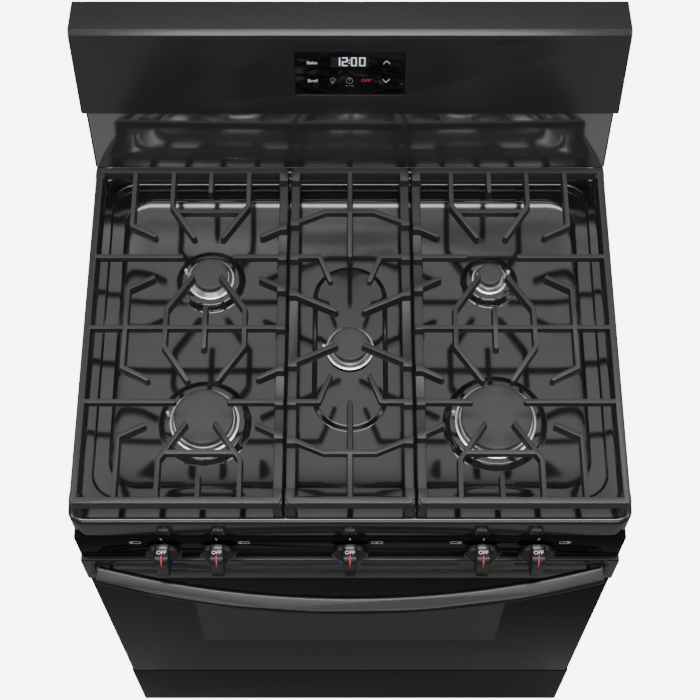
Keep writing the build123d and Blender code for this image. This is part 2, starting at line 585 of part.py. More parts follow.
with BuildPart() as grate_center:
    for side in (-1, 1):
        bars([(side * CENTER_SEAM_X, -END_Y), (side * CENTER_SEAM_X, END_Y)], width=SEAM_W,
             tall=SEAM_TALL, top=GRATE_TOP_Z - SEAM_DROP)
        bars([(side * CENTER_SEAM_X, 168), (side * 34.5, 187), (0, 187)], tall=CROSS_TALL)
        bars([(side * CENTER_SEAM_X, SIDE_BAR_Y), (side * 42.5, SIDE_BAR_Y), (side * 27.5, 74)],
             tall=CROSS_TALL)
        bars([(side * CENTER_SEAM_X, 54), (side * 20, 27)])
        for pad_y in (169, SIDE_BAR_Y, 55):
            bars([(side * CENTER_SEAM_X, pad_y - 8), (side * CENTER_SEAM_X, pad_y + 8)], width=SEAM_W,
                 tall=SEAM_DROP + SEAM_TALL)
        bars([(side * CENTER_SEAM_X, 236), (side * CENTER_SEAM_X, END_Y)], width=SEAM_W,
             tall=SEAM_DROP + SEAM_TALL)
        for end in (-1, 1):
            foot(side * CENTER_SEAM_X, end * (GRATE_HALF_DEPTH - FOOT_LEN / 2))
    bars([(-CENTER_SEAM_X, END_Y), (CENTER_SEAM_X, END_Y)], width=RAIL_W, tall=RAIL_TALL)
    bars([(0, END_Y), (0, 114)])
save(grate_center.part, "grate_center")

# ---- control panel, valves and knobs ----
with BuildPart() as control_panel:
    block(-377, 377, PANEL_Y, FRAME_Y - 0.5, PANEL_BOTTOM_Z, DECK_BOTTOM_Z - 0.5)
    fillet(control_panel.edges().filter_by(Axis.X).sort_by(lambda e: e.center().Y + e.center().Z)[0], 4)
    offset(amount=-SHEET, openings=control_panel.faces().sort_by(Axis.Y)[-1])
    with Locations(Plane((0, PANEL_Y, KNOB_Z), x_dir=(1, 0, 0), z_dir=(0, -1, 0))):
        with Locations(*[(x, 0) for x in KNOB_X]):
            Hole(7, depth=SHEET + 1)
save(control_panel.part, "control_panel")

MANIFOLD_Y, MANIFOLD_R = -238.0, 10.0
SUPPLY_X, SUPPLY_R = 335.0, 8.0
REGULATOR_Y, REGULATOR_TOP_Z, REGULATOR_TALL = 300.0, 176.0, 46.0
INLET_R, INLET_DEPTH, INLET_BOSS_R = 10.2, 18.0, 15.0
INLET_Y, INLET_Z = 336.0, 153.0
with BuildPart() as gas_supply:
    with BuildLine():
        FilletPolyline(
            (-290, MANIFOLD_Y, KNOB_Z), (SUPPLY_X, MANIFOLD_Y, KNOB_Z),
            (SUPPLY_X, REGULATOR_Y, KNOB_Z), (SUPPLY_X, REGULATOR_Y, REGULATOR_TOP_Z + 10), radius=30,
        )
    with BuildSketch(Plane((-290, MANIFOLD_Y, KNOB_Z), z_dir=(1, 0, 0))):
        Circle(SUPPLY_R)
    sweep()
    with Locations(Plane((-295, MANIFOLD_Y, KNOB_Z), z_dir=(1, 0, 0))):
        Cylinder(MANIFOLD_R, 590, align=(Align.CENTER, Align.CENTER, Align.MIN))
    with Locations((SUPPLY_X, REGULATOR_Y, REGULATOR_TOP_Z - REGULATOR_TALL)):
        Cylinder(24, REGULATOR_TALL, align=(Align.CENTER, Align.CENTER, Align.MIN))
        Cylinder(14, 66, align=(Align.CENTER, Align.CENTER, Align.MIN))
    with Locations(Plane((SUPPLY_X, INLET_Y, INLET_Z), z_dir=(0, -1, 0))):
        Cylinder(INLET_BOSS_R, INLET_Y - REGULATOR_Y, align=(Align.CENTER, Align.CENTER, Align.MIN))
        Cylinder(INLET_R, INLET_DEPTH, align=(Align.CENTER, Align.CENTER, Align.MIN), mode=Mode.SUBTRACT)
save(gas_supply.part, "gas_supply")

STEM_R = 4.0
VALVE_FRONT_Y = -285.0
with BuildPart() as gas_valves:
    for knob_x in KNOB_X:
        block(knob_x - 13, knob_x + 13, VALVE_FRONT_Y, MANIFOLD_Y - MANIFOLD_R - GAP, KNOB_Z - 14, KNOB_Z + 14)
        with Locations(Plane((knob_x, VALVE_FRONT_Y, KNOB_Z), z_dir=(0, 1, 0))):
            Cylinder(STEM_R + 0.05, 10, align=(Align.CENTER, Align.CENTER, Align.MIN), mode=Mode.SUBTRACT)
save(gas_valves.part, "gas_valves")

TUBE_R, TUBE_Z, TUBE_START_Y = 3.5, 868.0, -254.0
with BuildPart() as burner_feed_tubes:
    for knob_x, burner in zip(KNOB_X, ("left_rear", "left_front", "center", "right_front", "right_rear")):
        burner_x, burner_y = BURNERS[burner][:2]
        start = (knob_x, TUBE_START_Y, KNOB_Z + 14)
        route = [start, (knob_x, TUBE_START_Y, TUBE_Z), (knob_x, burner_y, TUBE_Z)]
        if knob_x != burner_x:
            route.append((burner_x, burner_y, TUBE_Z))
        with BuildLine():
            FilletPolyline(*route, radius=6)
        with BuildSketch(Plane(start, z_dir=(0, 0, 1))):
            Circle(TUBE_R)
        sweep()
        with Locations((burner_x, burner_y, TUBE_Z - 6)):
            Cylinder(9, THROAT_BOTTOM_Z - GAP - TUBE_Z + 6, align=(Align.CENTER, Align.CENTER, Align.MIN))
save(burner_feed_tubes.part, "burner_feed_tubes")

KNOB_R, KNOB_BACK_Y = 25.0, -295.0
SKIRT_DEPTH, KNOB_DEPTH = 13.0, 32.0
BLADE_W, BLADE_TALL = 20.0, 50.0
STEM_TIP_Y = -318.0
for number, knob_x in enumerate(KNOB_X, start=1):
    with BuildPart() as stem:
        with Locations(Plane((knob_x, VALVE_FRONT_Y + 8, KNOB_Z), z_dir=(0, -1, 0))):
            Cylinder(STEM_R, VALVE_FRONT_Y + 8 - STEM_TIP_Y, align=(Align.CENTER, Align.CENTER, Align.MIN))
    save(stem.part, f"valve_stem_{number}")
    with BuildPart() as knob:
        with BuildSketch(Plane((knob_x, KNOB_BACK_Y, KNOB_Z), x_dir=(1, 0, 0), z_dir=(0, -1, 0))):
            Circle(KNOB_R)
        extrude(amount=SKIRT_DEPTH, taper=12)
        with BuildSketch(Plane.YZ.offset(knob_x)):
            with BuildLine():
                Polyline(
                    (KNOB_BACK_Y - 6, KNOB_Z - BLADE_TALL / 2), (KNOB_BACK_Y - 6, KNOB_Z + BLADE_TALL / 2 - 3),
                    (KNOB_BACK_Y - 22, KNOB_Z + BLADE_TALL / 2), (KNOB_BACK_Y - KNOB_DEPTH, KNOB_Z + 16),
                    (KNOB_BACK_Y - KNOB_DEPTH, KNOB_Z - 16), (KNOB_BACK_Y - 22, KNOB_Z - BLADE_TALL / 2),
                    close=True,
                )
            make_face()
        extrude(amount=BLADE_W / 2, both=True)
        with Locations(Plane((knob_x, KNOB_BACK_Y, KNOB_Z), z_dir=(0, -1, 0))):
            Cylinder(STEM_R + 0.05, KNOB_BACK_Y - STEM_TIP_Y + 4, align=(Align.CENTER, Align.CENTER, Align.MIN),
                     mode=Mode.SUBTRACT)
    save(knob.part, f"knob_{number}")

# ---- backguard ----
FACE_LOW = (271.0, 1074.0)  # (y, z) of the sloped face's bottom edge
FACE_HIGH = (301.0, 1212.0)
LIP = (307.0, 1218.0)
TOP_BACK = (362.0, 1208.0)
BACK_Y = 366.0
GUARD_BASE_Z = RIM_Z + 1.0
GUARD_HALF = HALF_WIDTH - SHEET
RISER = ((RISER_Y, GUARD_BASE_Z), (292.0, 1021.0), (297.0, 1062.0))
FACE_ANGLE = degrees(atan2(FACE_HIGH[1] - FACE_LOW[1], FACE_HIGH[0] - FACE_LOW[0]))
FACE_NORMAL = Vector(0, -sin(radians(FACE_ANGLE)), cos(radians(FACE_ANGLE)))
FACE_PLANE = Plane(Vector(0, *FACE_LOW), x_dir=(1, 0, 0), z_dir=FACE_NORMAL)
GLASS_LOW, GLASS_HIGH, GLASS_HALF = 34.0, 113.6, 76.0
GLASS_THICK, GLASS_SUNK = 3.0, 1.0

with BuildPart() as backguard_shell:
    with BuildSketch(Plane.YZ):
        with BuildLine():
            Polyline(
                (FACE_LOW[0] + 22, FACE_LOW[1]), FACE_LOW, FACE_HIGH, LIP, TOP_BACK,
                (BACK_Y, TOP_BACK[1] - 6), (BACK_Y, GUARD_BASE_Z), (BACK_Y - SHEET, GUARD_BASE_Z),
                (BACK_Y - SHEET, TOP_BACK[1] - 8), (LIP[0] + 1, LIP[1] - 3), (FACE_HIGH[0] + 3, FACE_HIGH[1] - 2),
                (FACE_LOW[0] + 2.5, FACE_LOW[1] + SHEET), (FACE_LOW[0] + 22, FACE_LOW[1] + SHEET), close=True,
            )
        make_face()
    extrude(amount=GUARD_HALF, both=True)
    with BuildSketch(FACE_PLANE.offset(1)):
        with Locations((0, (GLASS_LOW + GLASS_HIGH) / 2)):
            RectangleRounded(2 * GLASS_HALF, GLASS_HIGH - GLASS_LOW, 2)
    extrude(amount=-8, mode=Mode.SUBTRACT)
save(backguard_shell.part, "backguard_shell")

with BuildPart() as control_glass:
    with BuildSketch(FACE_PLANE.offset(-GLASS_SUNK)):
        with Locations((0, (GLASS_LOW + GLASS_HIGH) / 2)):
            RectangleRounded(2 * GLASS_HALF - 0.4, GLASS_HIGH - GLASS_LOW - 0.4, 2)
    extrude(amount=-GLASS_THICK)
save(control_glass.part, "control_glass")

with BuildPart() as display_board:
    with BuildSketch(FACE_PLANE.offset(-GLASS_SUNK - GLASS_THICK - 4)):
        with Locations((0, (GLASS_LOW + GLASS_HIGH) / 2)):
            Rectangle(2 * GLASS_HALF + 16, GLASS_HIGH - GLASS_LOW + 6)
    extrude(amount=-1.6)
    with BuildSketch(FACE_PLANE.offset(-GLASS_SUNK - GLASS_THICK - 4)):
        with Locations((0, 94)):
            Rectangle(56, 22)
    extrude(amount=3.5)
save(display_board.part, "display_board")

with BuildPart() as backguard_riser:
    with BuildSketch(Plane.YZ):
        with BuildLine():
            Polyline(
                RISER[0], RISER[1], RISER[2], (RISER[2][0] + 20, RISER[2][1]),
                (RISER[2][0] + 20, RISER[2][1] - SHEET), (RISER[2][0] + SHEET, RISER[2][1] - SHEET),
                (RISER[1][0] + SHEET, RISER[1][1]), (RISER[0][0] + SHEET, RISER[0][1] + SHEET),
                (RISER[0][0] + 24, RISER[0][1] + SHEET), (RISER[0][0] + 24, RISER[0][1]), close=True,
            )
        make_face()
    extrude(amount=GUARD_HALF, both=True)
save(backguard_riser.part, "backguard_riser")

with BuildPart() as backguard_end_caps:
    for side in (-1, 1):
        with BuildSketch(Plane.YZ.offset(side * GUARD_HALF)):
            with BuildLine():
                Polyline(
                    RISER[0], RISER[1], RISER[2], (FACE_LOW[0] + 12, FACE_LOW[1] - 4), FACE_LOW, FACE_HIGH, LIP,
                    TOP_BACK, (BACK_Y, TOP_BACK[1] - 6), (BACK_Y, GUARD_BASE_Z), close=True,
                )
            make_face()
        extrude(amount=side * SHEET)
save(backguard_end_caps.part, "backguard_end_caps")
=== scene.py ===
# %% [markdown]
# # A freestanding gas range
#
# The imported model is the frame: every pressed panel, casting, hinge and knob already stands at
# its real place, in metres. This lesson loads it, gives each part a real finish, and models
# again the pieces whose shape carries the look: the enamelled cooktop, the cast grates, the
# burners, the knobs, the handle and the backguard.

# %% Load the frame
import json
from math import atan2, cos, degrees, hypot, pi, radians, sin

import bpy
from mathutils import Matrix, Vector


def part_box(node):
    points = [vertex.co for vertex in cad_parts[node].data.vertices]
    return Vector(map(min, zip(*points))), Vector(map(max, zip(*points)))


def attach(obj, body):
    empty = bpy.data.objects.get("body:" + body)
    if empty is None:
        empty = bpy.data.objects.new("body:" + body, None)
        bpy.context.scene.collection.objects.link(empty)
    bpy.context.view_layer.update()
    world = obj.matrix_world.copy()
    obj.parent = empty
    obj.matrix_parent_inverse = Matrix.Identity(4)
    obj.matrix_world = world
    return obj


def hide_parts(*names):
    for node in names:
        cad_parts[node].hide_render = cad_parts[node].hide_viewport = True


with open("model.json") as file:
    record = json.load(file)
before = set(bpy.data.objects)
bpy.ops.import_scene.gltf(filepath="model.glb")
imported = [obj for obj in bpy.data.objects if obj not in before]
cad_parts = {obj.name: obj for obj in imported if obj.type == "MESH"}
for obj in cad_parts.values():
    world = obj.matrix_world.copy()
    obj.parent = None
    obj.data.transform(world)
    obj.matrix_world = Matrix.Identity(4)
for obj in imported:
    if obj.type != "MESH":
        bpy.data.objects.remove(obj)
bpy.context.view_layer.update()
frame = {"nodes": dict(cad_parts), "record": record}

MM = 0.001

# %% [markdown]
# ## Working by hand, in code
#
# A primitive is added at its size and place, shaped in edit mode, and finished with modifiers.
# Edit-mode operators act on what is selected, so these helpers clear the selection, pick faces
# or edges by where they are, and leave the finished piece at the origin.


# %% Helpers for selecting and finishing
def start_alone(piece):
    """Makes a piece the only selected and active object."""
    bpy.ops.object.select_all(action="DESELECT")
    piece.select_set(True)
    bpy.context.view_layer.objects.active = piece


def settle(piece, name):
    """Names a piece and applies its place, so that the object sits at the origin."""
    start_alone(piece)
    bpy.ops.object.transform_apply(location=True, rotation=True, scale=True)
    piece.name = piece.data.name = name
    return piece


def add_modifier(piece, kind, **settings):
    """Adds a modifier, sets it and applies it."""
    start_alone(piece)
    modifier = piece.modifiers.new(kind.title(), kind)
    for key, value in settings.items():
        setattr(modifier, key, value)
    bpy.ops.object.modifier_apply(modifier=modifier.name)


def smooth(piece, angle=32):
    """Smooth shading, with edges sharper than the angle kept crisp."""
    start_alone(piece)
    bpy.ops.object.shade_smooth_by_angle(angle=radians(angle))


def outward(piece):
    """Merges doubled points and turns every face outwards."""
    start_alone(piece)
    bpy.ops.object.mode_set(mode="EDIT")
    bpy.ops.mesh.select_all(action="SELECT")
    bpy.ops.mesh.remove_doubles(threshold=0.00001)
    bpy.ops.mesh.normals_make_consistent(inside=False)
    bpy.ops.object.mode_set(mode="OBJECT")


def copy_of_node(node, name, edge, segments, angle=30):
    """A merged copy of a CAD node with its edges rounded, which then stands for the node."""
    source = frame["nodes"][node]
    piece = source.copy()
    piece.data = source.data.copy()
    bpy.context.collection.objects.link(piece)
    piece.parent = None
    piece.matrix_world = Matrix.Identity(4)
    settle(piece, name)
    start_alone(piece)
    bpy.ops.object.mode_set(mode="EDIT")
    bpy.ops.mesh.select_all(action="SELECT")
    bpy.ops.mesh.remove_doubles(threshold=0.00002)
    bpy.ops.mesh.dissolve_limited(angle_limit=radians(1.5))
    bpy.ops.object.mode_set(mode="OBJECT")
    add_modifier(piece, "BEVEL", width=edge, segments=segments, limit_method="ANGLE",
                 angle_limit=radians(angle), harden_normals=False, use_clamp_overlap=True)
    smooth(piece)
    return piece


# %% [markdown]
# ## Finishes
#
# A finish is a Principled shader with constants on its own sockets. What varies over a surface,
# such as the waviness of enamel or the grain of cast iron, is a field: a socket that Python can
# add and multiply, so that shader maths reads like arithmetic.


# %% Fields and finishes
class Field:
    """A value that varies over a surface, with Python's arithmetic."""

    def __init__(self, finish, socket):
        self.finish = finish
        self.socket = socket

    def maths(self, operation, *values):
        return self.finish.node("ShaderNodeMath", {"operation": operation},
                                dict(enumerate((self,) + values)))

    def __add__(self, other):
        return self.maths("ADD", other)

    def __mul__(self, other):
        return self.maths("MULTIPLY", other)

    __radd__ = __add__
    __rmul__ = __mul__

    def above(self, edge, softness):
        """0 below the edge, 1 above it, with a soft step."""
        return self.finish.node("ShaderNodeMapRange", {"clamp": True}, {
            "Value": self, "From Min": edge - softness, "From Max": edge + softness})


class Finish:
    """One procedural material."""

    def __init__(self, name, color, roughness, metallic=0.0, **fixed):
        self.material = bpy.data.materials.new(name)
        self.material.use_nodes = True
        self.tree = self.material.node_tree
        self.shader = self.tree.nodes["Principled BSDF"]
        self.set("Base Color", (*color, 1.0))
        self.set("Roughness", roughness)
        self.set("Metallic", metallic)
        for socket, value in fixed.items():
            self.set(socket.replace("_", " "), value)
        self.place = self.node("ShaderNodeTexCoord", {}, {}, output="Object")

    def set(self, socket, value):
        if isinstance(value, Field):
            self.tree.links.new(value.socket, self.shader.inputs[socket])
        else:
            self.shader.inputs[socket].default_value = value

    def node(self, kind, settings, inputs, output=0):
        """Adds a node: settings first, then its sockets' values or links."""
        node = self.tree.nodes.new(kind)
        for key, value in settings.items():
            setattr(node, key, value)
        for socket, value in inputs.items():
            if isinstance(value, Field):
                self.tree.links.new(value.socket, node.inputs[socket])
            else:
                node.inputs[socket].default_value = value
        return Field(self, node.outputs[output])

    def noise(self, scale, detail=2.0, stretch=(1, 1, 1), roughness=0.5):
        """Noise of so many lumps to the metre, stretched along an axis for brushed metal."""
        place = self.node("ShaderNodeVectorMath", {"operation": "MULTIPLY"},
                          {0: self.place, 1: stretch})
        return self.node("ShaderNodeTexNoise", {}, {
            "Vector": place, "Scale": scale, "Detail": detail, "Roughness": roughness})

    def mix(self, factor, first, second):
        """A colour between two colours."""
        return self.node("ShaderNodeMix", {"data_type": "RGBA"}, {
            0: factor, 6: first if isinstance(first, Field) else (*first, 1.0),
            7: second if isinstance(second, Field) else (*second, 1.0)}, output=2)

    def bump(self, height, distance, strength=1.0):
        """Relief of so many metres, from a height field of 0 to 1."""
        self.set("Normal", self.node("ShaderNodeBump", {}, {
            "Height": height, "Distance": distance, "Strength": strength}))


def paint(piece, finish):
    """Puts one finish on a piece."""
    piece.data.materials.clear()
    piece.data.materials.append(finish.material)


def rides(piece, body, slot, *nodes):
    """Says which body a piece moves with and the CAD nodes it stands for; its slot is not used."""
    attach(piece, body)
    if nodes:
        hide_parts(*nodes)
    print(piece.name, len(piece.data.polygons), "faces")


# %% Enamel and paint
enamel = Finish("porcelain_enamel", (0.009, 0.009, 0.0092), 0.1, Specular_IOR_Level=0.85)
enamel.set("Roughness", enamel.noise(30, 3) * 0.05 + 0.09)
enamel.bump(enamel.noise(260, 2), 0.00002, 0.35)

gloss_black = Finish("gloss_black_paint", (0.006, 0.006, 0.0062), 0.12, IOR=1.11)
gloss_black.set("Roughness", gloss_black.noise(60, 3) * 0.05 + 0.1)
gloss_black.bump(gloss_black.noise(700, 2), 0.00001, 0.3)

satin_steel = Finish("satin_black_steel", (0.1, 0.1, 0.102), 0.22, 0.85)
satin_steel.set("Roughness", satin_steel.noise(40, 3) * 0.05 + 0.2)
satin_steel.bump(satin_steel.noise(900, 2, (0.15, 1, 1)), 0.00001, 0.25)

handle_steel = Finish("handle_steel", (0.045, 0.045, 0.046), 0.26, 0.9)
handle_steel.set("Roughness", handle_steel.noise(50, 3) * 0.06 + 0.26)
handle_steel.bump(handle_steel.noise(900, 2, (0.1, 1, 1)), 0.00001, 0.25)

# %% Bare metals
galvanised = Finish("galvanised_steel", (0.45, 0.46, 0.48), 0.42, 0.9)
spangle = galvanised.node("ShaderNodeTexVoronoi", {"feature": "F1"},
                          {"Vector": galvanised.place, "Scale": 140.0}, output="Color")
galvanised.set("Base Color", galvanised.mix(spangle, (0.36, 0.37, 0.39), (0.5, 0.51, 0.53)))
galvanised.set("Roughness", galvanised.noise(120, 4) * 0.2 + 0.32)

screw_zinc = Finish("zinc_screw", (0.55, 0.55, 0.56), 0.3, 0.95)
screw_zinc.set("Roughness", screw_zinc.noise(900, 2) * 0.2 + 0.22)

bright_aluminium = Finish("machined_aluminium", (0.82, 0.82, 0.82), 0.2, 1.0)
bright_aluminium.set("Roughness", bright_aluminium.noise(160, 3) * 0.1 + 0.28)
bright_aluminium.bump(bright_aluminium.noise(1200, 2, (1, 1, 8)), 0.00002, 0.3)

drawn_tube = Finish("drawn_tube", (0.6, 0.6, 0.6), 0.35, 0.95)
drawn_tube.set("Roughness", drawn_tube.noise(200, 3) * 0.2 + 0.25)

brass = Finish("machined_brass", (0.66, 0.47, 0.2), 0.3, 1.0)
brass.set("Roughness", brass.noise(300, 3) * 0.2 + 0.22)

rack_chrome = Finish("chromed_wire", (0.72, 0.72, 0.73), 0.12, 1.0)
rack_chrome.set("Roughness", rack_chrome.noise(200, 2) * 0.1 + 0.08)

heat_tinted = Finish("heat_tinted_steel", (0.36, 0.32, 0.28), 0.4, 0.9)
heat_tinted.set("Base Color", heat_tinted.mix(
    heat_tinted.noise(14, 3), (0.42, 0.36, 0.27), (0.25, 0.27, 0.36)))

# %% Castings, ceramics and plastics
cast_iron = Finish("cast_iron", (0.03, 0.03, 0.03), 0.4, 0.0, Specular_IOR_Level=0.5)
cast_iron.set("Base Color", cast_iron.mix(
    cast_iron.noise(420, 4), (0.016, 0.016, 0.0162), (0.025, 0.025, 0.0252)))
cast_iron.set("Roughness", cast_iron.noise(260, 3) * 0.12 + 0.36)
cast_iron.bump(cast_iron.noise(1100, 4), 0.00008, 0.5)

cap_enamel = Finish("matte_cap_enamel", (0.075, 0.075, 0.075), 0.55)
cap_enamel.set("Base Color", cap_enamel.mix(
    cap_enamel.noise(700, 4), (0.03, 0.03, 0.0304), (0.04, 0.04, 0.0404)))
cap_enamel.bump(cap_enamel.noise(1500, 3), 0.00004, 0.4)

speckled = Finish("speckled_oven_enamel", (0.03, 0.034, 0.045), 0.22)
fleck = speckled.node("ShaderNodeTexVoronoi", {"feature": "F1"},
                      {"Vector": speckled.place, "Scale": 420.0})
speckled.set("Base Color", speckled.mix(
    fleck.above(0.22, 0.03), (0.32, 0.34, 0.38), (0.028, 0.031, 0.042)))
speckled.set("Roughness", speckled.noise(60, 3) * 0.08 + 0.18)

grey_paint = Finish("drawer_paint", (0.06, 0.06, 0.063), 0.45)
grey_paint.bump(grey_paint.noise(1400, 3), 0.00005, 0.5)

ceramic = Finish("igniter_ceramic", (0.8, 0.78, 0.72), 0.35)
ceramic.set("Base Color", ceramic.mix(ceramic.noise(300, 3), (0.84, 0.82, 0.77), (0.7, 0.67, 0.6)))

gloss_plastic = Finish("knob_gloss_plastic", (0.01, 0.01, 0.0102), 0.24, Coat_Weight=0.1)
gloss_plastic.set("Roughness", gloss_plastic.noise(90, 2) * 0.05 + 0.21)

matte_plastic = Finish("matte_black_plastic", (0.02, 0.02, 0.02), 0.55)
matte_plastic.bump(matte_plastic.noise(1800, 2), 0.00004, 0.5)

board = Finish("circuit_board", (0.02, 0.12, 0.05), 0.4)
tracks = board.noise(500, 1).above(0.56, 0.02)
board.set("Base Color", board.mix(tracks, (0.015, 0.1, 0.04), (0.04, 0.2, 0.09)))

woven = Finish("woven_gasket", (0.09, 0.09, 0.09), 0.9)
strands = woven.node("ShaderNodeTexWave", {"bands_direction": "DIAGONAL"},
                     {"Vector": woven.place, "Scale": 220.0, "Distortion": 1.5})
woven.set("Base Color", woven.mix(strands, (0.05, 0.05, 0.05), (0.14, 0.14, 0.14)))
woven.bump(strands, 0.0004, 0.6)

# %% Glasses
door_black = Finish("black_door_glass", (0.004, 0.004, 0.0042), 0.05, IOR=1.1)
touch_black = Finish("black_touch_glass", (0.004, 0.004, 0.005), 0.08)
touch_black.set("Roughness", touch_black.noise(50, 2) * 0.03 + 0.06)
clear_glass = Finish("clear_glass", (0.75, 0.78, 0.76), 0.05, Transmission_Weight=0.0, IOR=1.5)
clear_glass.set("Alpha", clear_glass.noise(4, 1) * 0.02 + 0.2)
lamp_glass = Finish("lamp_glass", (0.92, 0.92, 0.9), 0.15)
lamp_glass.set("Alpha", lamp_glass.noise(60, 2) * 0.05 + 0.5)

SLOT_FINISH = {
    "enamel": enamel, "black_panel": gloss_black, "backguard_steel": satin_steel,
    "trim_steel": handle_steel, "zinc_steel": galvanised, "screw_steel": screw_zinc,
    "foot_plastic": matte_plastic, "gland_plastic": matte_plastic, "oven_enamel": speckled,
    "gasket": woven, "burner_tube": heat_tinted, "lamp_glass": lamp_glass, "rack_chrome": rack_chrome,
    "door_glass": door_black, "clear_glass": clear_glass, "drawer_paint": grey_paint,
    "cast_iron": cast_iron, "cap_enamel": cap_enamel, "burner_aluminium": bright_aluminium,
    "igniter_ceramic": ceramic, "gas_pipe": drawn_tube, "valve_brass": brass,
    "knob_plastic": gloss_plastic, "touch_glass": touch_black, "circuit_board": board,
}
for entry in frame["record"]["subparts"]:
    paint(frame["nodes"][entry["node"]], SLOT_FINISH[entry["material_slot"]])
print("finishes:", len(SLOT_FINISH))

# %% [markdown]
# ## The cooktop
#
# A real cooktop is one sheet of steel, pressed into a deep well with soft corners and fired
# with black enamel. It could be cut from a solid block, but a pressing is all smooth turns.
# So it is built as a stack of rounded outlines, each a plane with its corners bevelled, and
# neighbouring outlines are bridged, as a shipwright planks a hull over its frames.

# %% Rounded outlines and bridges
CORNER_STEPS = 12
LOOP_POINTS = 4 * (CORNER_STEPS + 1)


def edit_new(name):
    """A new empty piece, left in edit mode."""
    bpy.ops.object.select_all(action="DESELECT")
    bpy.ops.mesh.primitive_plane_add(size=MM)
    piece = bpy.context.object
    piece.name = name
    bpy.ops.object.mode_set(mode="EDIT")
    bpy.ops.mesh.select_mode(type="VERT")
    bpy.ops.mesh.select_all(action="SELECT")
    bpy.ops.mesh.delete(type="VERT")
    return piece


def add_outline(half_x, y_low, y_high, radius, z):
    """Adds a rounded rectangle of edges, in millimetres, to the mesh in edit mode."""
    bpy.ops.mesh.select_all(action="DESELECT")
    middle = (0, (y_low + y_high) / 2 * MM, z * MM)
    bpy.ops.mesh.primitive_plane_add(size=1, location=middle)
    bpy.ops.transform.resize(value=(2 * half_x * MM, (y_high - y_low) * MM, 1), center_override=middle)
    bpy.ops.mesh.bevel(offset=radius * MM, segments=CORNER_STEPS, affect="VERTICES")
    bpy.ops.mesh.delete(type="ONLY_FACE")


def pick_edges(piece, first, last):
    """Selects the edges whose two points are numbered in this range."""
    bpy.ops.mesh.select_all(action="DESELECT")
    bpy.ops.object.mode_set(mode="OBJECT")
    for edge in piece.data.edges:
        edge.select = all(first <= index < last for index in edge.vertices)
    bpy.ops.object.mode_set(mode="EDIT")
    bpy.ops.mesh.select_mode(type="EDGE")


def pressed_sheet(name, outlines):
    """Bridges a stack of rounded outlines into one sheet, and closes the last one."""
    piece = edit_new(name)
    for outline in outlines:
        add_outline(*outline)
    for number in range(len(outlines) - 1):
        pick_edges(piece, number * LOOP_POINTS, (number + 2) * LOOP_POINTS)
        bpy.ops.mesh.bridge_edge_loops()
    pick_edges(piece, (len(outlines) - 1) * LOOP_POINTS, len(outlines) * LOOP_POINTS)
    bpy.ops.mesh.edge_face_add()
    bpy.ops.object.mode_set(mode="OBJECT")
    return settle(piece, name)


def blend_outlines(start, end, inward, down, steps):
    """Outlines between two, where inward and down say how far along each one has gone."""
    between = []
    for step in range(1, steps + 1):
        across, sink = inward(step / steps), down(step / steps)
        flat = [a + (b - a) * across for a, b in zip(start[:4], end[:4])]
        between.append((*flat, start[4] + (end[4] - start[4]) * sink))
    return between


# %% Press the cooktop
deck_low, deck_high = [[value / MM for value in corner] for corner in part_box("cooktop_deck")]
SKIRT_Z, RIM_Z = deck_low[2], deck_high[2]
HALF, FRONT, REAR = deck_high[0], deck_low[1], deck_high[1]
LEDGE_Z, FLOOR_Z = RIM_Z - 12, RIM_Z - 24
ENAMEL_SHEET = 0.8


def quarter_in(share):
    """A quarter turn that starts slowly."""
    return 1 - cos(share * pi / 2)


def quarter_out(share):
    """A quarter turn that ends slowly."""
    return sin(share * pi / 2)


skirt = (HALF, FRONT, REAR, 22, SKIRT_Z)
shoulder = (HALF, FRONT, REAR, 22, RIM_Z - 7)
rim = (HALF - 7, FRONT + 7, REAR - 7, 16, RIM_Z)
rim_inner = (369, -264, 267, 16, RIM_Z - 0.15)
rim_lip = (367.5, -262.5, 265, 16, RIM_Z - 1.2)
groove = (363.5, -257, 261, 17, RIM_Z - 6)
shelf = (361, -255, 259, 18, RIM_Z - 7)
shelf_end = (352, -250, 250.5, 34, RIM_Z - 7.3)
step_down = (350.5, -248.5, 248, 35, RIM_Z - 8.2)
step_foot = (349, -247, 242.5, 36, LEDGE_Z + 0.6)
ledge = (346.5, -244.5, 240, 38, LEDGE_Z)
ledge_end = (334, -236, 228.5, 42, LEDGE_Z - 0.2)
well_lip = (331, -233, 225.5, 43, LEDGE_Z - 1)
well_floor = (288, -188, 164, 30, FLOOR_Z)
outlines = [skirt, shoulder]
outlines += blend_outlines(shoulder, rim, quarter_in, quarter_out, 6)
outlines += [rim_inner, rim_lip, groove, shelf, shelf_end, step_down, step_foot]
outlines += [ledge, ledge_end, well_lip]
outlines += blend_outlines(well_lip, well_floor, quarter_in, quarter_out, 14)
cooktop = pressed_sheet("cooktop", outlines)
outward(cooktop)
add_modifier(cooktop, "SOLIDIFY", thickness=ENAMEL_SHEET * MM, offset=-1)
smooth(cooktop, 40)
paint(cooktop, enamel)
rides(cooktop, "range", "enamel", "cooktop_deck")

# %% Raise the middle plateau
CENTER_Y = -14.0
FOOT_HALF, FOOT_REACH = 54, 131.5
SLOPE_RUN, PLATEAU_RISE = 8, 5
plateau_foot = (FOOT_HALF, CENTER_Y - FOOT_REACH, CENTER_Y + FOOT_REACH, 53.9, FLOOR_Z - 0.05)
plateau_top = (FOOT_HALF - SLOPE_RUN, CENTER_Y - FOOT_REACH + SLOPE_RUN,
               CENTER_Y + FOOT_REACH - SLOPE_RUN, 45.9, FLOOR_Z + PLATEAU_RISE)


def ease(share):
    """A slope that starts and ends level."""
    return (1 - cos(share * pi)) / 2


